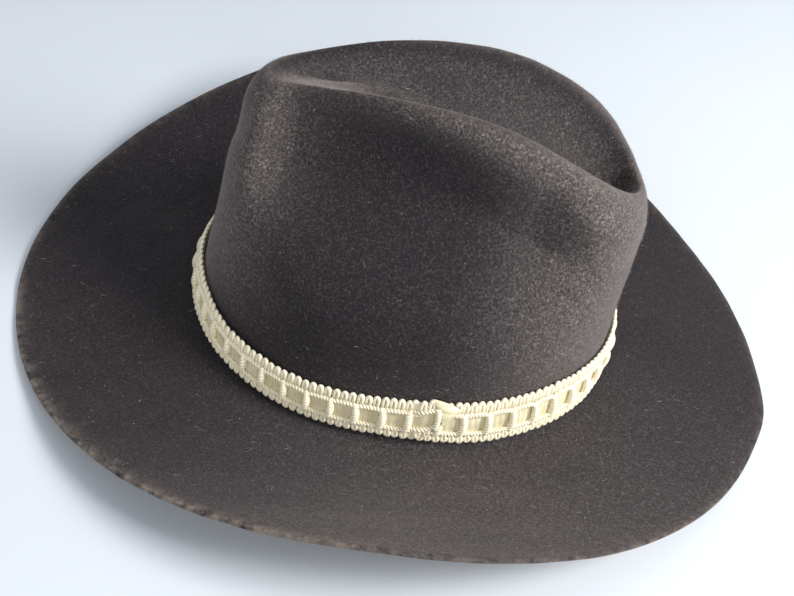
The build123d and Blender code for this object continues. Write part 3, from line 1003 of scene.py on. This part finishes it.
def sweatband():
    """The leather band, a little wavy at its loose top edge."""
    heights = np.linspace(-0.4, 47.4, 20)
    inside = [(-1.0, -4.5), *[(h, -4.8) for h in heights], (48.0, -4.5)]
    # two lines pressed into the leather near its top edge
    inside[-4] = (inside[-4][0], -4.55)
    inside[-6] = (inside[-6][0], -4.60)
    outside = [(48.0, -4.2), *[(h, -3.9) for h in heights[::-1]], (-1.0, -4.2)]
    inner_ring("sweatband", inside + outside, "sweatband_leather", LEATHER, 0.15)


def round_profile(height, out, radius, sides=10):
    """A cord's outline as (height, distance out)."""
    return [(height + radius * math.sin(a), out + radius * math.cos(a))
            for a in np.arange(sides) * 2 * math.pi / sides]


def stitches():
    """A running stitch that holds the sweatband to its tape."""
    seam = Parts()
    for k in range(STITCHES):
        angle = 2 * math.pi * (k + 0.5) / STITCHES + np.linspace(-0.0125, 0.0125, 7)
        dip = np.cos(np.linspace(-math.pi / 2, math.pi / 2, 7))
        path = wall(angle, 2.6 + 0.1 * math.sin(k), -4.82 - 0.28 * dip)
        seam.add(*tube(path, THREAD_RADIUS, outward(angle), STRAND_SIDES))
    seam.made("sweatband_stitching", "hat", "thread", THREAD)


def patch(name, heights, outs, angles, slot, material):
    """A soft-edged patch on the crown's inner wall, within a range of each."""
    low, high = heights
    near, far = outs
    left, right = angles
    u, v = np.meshgrid(np.linspace(-1, 1, 22), np.linspace(-1, 1, 22))
    angle = (left + right) / 2 + (right - left) / 2 * u
    height = (low + high) / 2 + (high - low) / 2 * v
    crown = (1 - np.abs(u) ** 10) * (1 - np.abs(v) ** 10)
    face = wall(angle, height, near + (far - near) * (1 - 0.8 * crown))
    new_piece(name, *slab(wall(angle, height, far), face), "hat", slot, material)


def bow():
    """A small flat bow of black ribbon: two loops, two tails and a knot."""
    ribbon = Parts()
    back = math.pi / 2
    per_mm = 1 / CROWN[0]
    upright = np.array([[0.0, 0.0, 1.0]])
    t = np.linspace(0, 2 * math.pi, 28, endpoint=False)
    for side in (-1, 1):
        for level in np.linspace(-1, 1, 5):
            reach = 4.6 - 4.4 * np.cos(t)
            swell = 0.9 * np.sin(t)
            angle = back + side * reach * per_mm
            height = 9.0 + level * (1.0 + 0.22 * reach)
            path = wall(angle, height, -7.2 + swell)
            ribbon.add(*tube(path, 0.42, upright, 4, True))
        tail = np.linspace(0, 1, 12)
        for level in (-0.7, 0.0, 0.7):
            angle = back + side * (1.0 + 6.0 * tail) * per_mm
            path = wall(angle, 8.6 - 5.0 * tail + level, -6.7 + 0.4 * np.sin(3 * tail))
            ribbon.add(*tube(path, 0.42, upright, 4))
    knot = np.linspace(-1, 1, 9)
    path = wall(np.full(9, back), 9.0 + 2.4 * knot, -7.9 + 0.5 * knot**2)
    ribbon.add(*tube(path, 1.5 * np.sqrt(1.05 - knot**2) + 0.2, np.array([[1.0, 0.0, 0.0]]), 12))
    ribbon.made("sweatband_bow", "hat", "black_tape", BLACK_TAPE)


# height, fall for each mm backwards, depth inside the felt's outer face
LINING_LEVELS = np.array((
    (30.0, 0.0, 2.7),
    (44.0, 0.03, 2.8),
    (57.0, 0.07, 3.2),
    (70.0, 0.12, 7.0),
    (84.0, 0.16, 10.0),
))
TIP_HEIGHT, TIP_FALL, _ = LINING_LEVELS[-1]
wall_grid = spline_rows(control, np.linspace(FOOT_ROW, DISH_ROW - 3, 161))


def sloped_ring(height, fall, depth):
    """Points inside the crown wall on a plane that falls towards the back."""
    ring = np.empty((COLUMNS, 3))
    for column in range(COLUMNS):
        p = wall_grid[:, column]
        level = np.maximum.accumulate(p[:, 2] + fall * p[:, 1])
        for axis in range(2):
            ring[column, axis] = np.interp(height, level, p[:, axis])
    ring[:, :2] -= foot_out[:, :2] * depth
    ring[:, 2] = height - fall * ring[:, 1]
    return ring


def lining_side():
    """Satin side wall, gathered with soft upright folds."""
    top = len(LINING_LEVELS) - 1
    rings = []
    for k in np.linspace(0, top, 33):
        height, fall, depth = (np.interp(k, np.arange(top + 1), LINING_LEVELS[:, c]) for c in range(3))
        ring = sloped_ring(height, fall, depth)
        folds = 0.5 * np.sin(34 * angle_fine) * np.sin(5 * angle_fine + 1)
        folds *= ramp(k / 1.5) * ramp(top - k)
        ring[:, :2] -= foot_out[:, :2] * (0.6 + folds)[:, None] * ramp(k / 1.2)
        rings.append(ring)
    middle = np.array(rings)
    shell = np.concatenate([middle + foot_out[None] * 0.15, (middle - foot_out[None] * 0.2)[::-1]])
    faces = hoop_faces(len(shell), COLUMNS)
    side = new_piece("lining_side", shell.reshape(-1, 3), faces, "hat", "lining_satin", LINING)


def lining_tip():
    """The smooth padded tip of the lining, quilted a little towards its rim."""
    rim = sloped_ring(TIP_HEIGHT, TIP_FALL, 10.6)
    centre = np.array([0.0, RIDGE_SHIFT_Y, TIP_HEIGHT - TIP_FALL * RIDGE_SHIFT_Y])
    dome = []
    for share in np.linspace(1, 0.02, 28):
        ring = centre + (rim - centre) * share
        quilt = 0.5 * np.sin(16 * angle_fine) * math.sin(math.pi * share) ** 2
        ring[:, 2] += 4.0 * (1 - share**2) + quilt
        dome.append(ring)
    dome = np.array(dome)
    shell = np.concatenate([dome, (dome - (0, 0, 0.4))[::-1]])
    rings = len(dome)
    under = rings * COLUMNS             # number of the lower face's first point
    faces = grid_faces(rings, COLUMNS).tolist() + grid_faces(rings, COLUMNS, start=under).tolist()
    faces.append(list(range(under - COLUMNS, under)))
    faces.append(list(range(under, under + COLUMNS))[::-1])
    faces += join_rings(2 * under - COLUMNS, 0, COLUMNS)
    tip = new_piece("lining_tip", shell.reshape(-1, 3), faces, "hat", "lining_satin", LINING)


def lining_piping():
    """A thin cord where the lining's side meets its tip."""
    cord = twisted(sloped_ring(TIP_HEIGHT - 1.6, TIP_FALL, 11.2), foot_out, 0.75, 3.0)
    cord.made("lining_piping", "hat", "lining_satin", LINING)


# ---- Make everything ----
build_felt()
# the last two colours of each are the fibres' painted-lit look, where light is painted on the felt
NAP = fibre_material("nap_fibres", (0.010, 0.009, 0.013), (0.12, 0.10, 0.105),
                     (0.07, 0.06, 0.055), (0.48, 0.42, 0.385))
LINT = fibre_material("lint", (0.26, 0.24, 0.23), (0.62, 0.60, 0.56),
                      (0.34, 0.32, 0.29), (0.70, 0.67, 0.62))
fibres("felt_nap", 120000, (0.4, 1.3), 0.07, (0.0, 0.9), 0.6, NAP)
fibres("felt_lint", 1300, (0.8, 3.2), 0.085, (0.05, 0.5), 0.8, LINT, steps=6)
specks("felt_specks", 900, (0.08, 0.22), LINT)

backing = band_strip("band_backing", *BACKING, 0.6, 1.2, "ivory_tape", IVORY_TAPE)
ribbon = band_strip("band_ribbon", 8.2, 18.2, 1.3, 1.8, "satin_ribbon", SATIN, ribbon_puff, 13)
lapped_ribbon()
rope_ring("band_rope_lower", ROPE_LOW, 2.7, 1.2)
rope_ring("band_rope_upper", ROPE_HIGH, 2.7, 1.25)
picot_row("band_picot_upper", 18.9, 23.8, 2.2, 0.92, tall=True)
picot_row("band_picot_lower", 6.5, 3.3, 2.1, 0.98, tall=False)
crossbars()
lapped_end()
folded_tail()
join_stitches()

sweatband()
inner_ring("sweatband_reed", round_profile(-2.0, -3.7, 0.75), "reed_plastic", plastic_material())
inner_ring("reed_tape", [(-1.0, -3.0), (2, -3.1), (5, -3.0), (5, -2.7), (2, -2.65), (-1, -2.7)],
           "black_tape", BLACK_TAPE)
stitches()
patch("size_tag", (9.0, 23.0), (-3.2, -2.95), (1.70, 1.92), "paper_tag", card_material())
patch("sweatband_back_tape", (2.8, 45.5), (-6.0, -5.1), (1.503, 1.639), "sweatband_leather", LEATHER)
bow()
lining_side()
lining_tip()
lining_piping()


# ---- Stage ----
def stage():
    """A plain pale floor."""
    floor = bpy.data.meshes.new("floor")
    floor.from_pydata([(-6, -6, 0), (6, -6, 0), (6, 6, 0), (-6, 6, 0)], [], [(0, 1, 2, 3)])
    m = Recipe("floor", 0.9, 0.0, 0.2)
    m.colour(m.ramp(m.noise(3), (0.3, (0.60, 0.63, 0.66)), (0.7, (0.64, 0.67, 0.70))))
    floor.materials.append(m.material)
    new_object("floor", floor)


def area_light(name, place, size, power):
    """A square light that faces the hat."""
    light = bpy.data.lights.new(name, "AREA")
    light.size = size
    light.energy = power
    lamp = new_object(name, light)
    lamp.location = place
    lamp.rotation_euler = (Vector((0, 0, 0.06)) - Vector(place)).to_track_quat("-Z", "Y").to_euler()


def camera():
    """Over the wearer's left side, looking down on the crown, slightly rolled."""
    azimuth, elevation, roll = (math.radians(a) for a in (85.96, 43.10, 12.06))
    distance = 0.5769
    target = Vector((0.0014, -0.0021, 0.00404 + BREAK_Z / 1000))
    back = Vector((
        math.sin(azimuth) * math.cos(elevation),
        -math.cos(azimuth) * math.cos(elevation),
        math.sin(elevation),
    ))
    right = (-back).cross(Vector((0, 0, 1))).normalized()
    up = right.cross(-back)
    right, up = (right * math.cos(roll) + up * math.sin(roll), up * math.cos(roll) - right * math.sin(roll))
    data = bpy.data.cameras.new("camera")
    data.sensor_width = 36
    data.lens = 50.9
    data.clip_start = 0.01
    eye = new_object("camera", data)
    place = Matrix((right, up, back)).transposed().to_4x4()
    place.translation = target + back * distance
    eye.matrix_world = place
    bpy.context.scene.camera = eye


def sky():
    """Even, slightly blue light from all round."""
    world = bpy.data.worlds.new("studio")
    world.use_nodes = True
    background = world.node_tree.nodes["Background"]
    background.inputs[0].default_value = (0.80, 0.88, 1.0, 1)
    background.inputs[1].default_value = 0.42
    bpy.context.scene.world = world


stage()
camera()
sky()
area_light("back_right", (0.35, 1.1, 1.0), 0.6, 31)
area_light("left_side", (1.2, -0.1, 0.62), 1.0, 7.5)
area_light("overhead", (-0.3, 0.3, 1.6), 1.2, 3)
bpy.context.scene.view_settings.view_transform = "Standard"
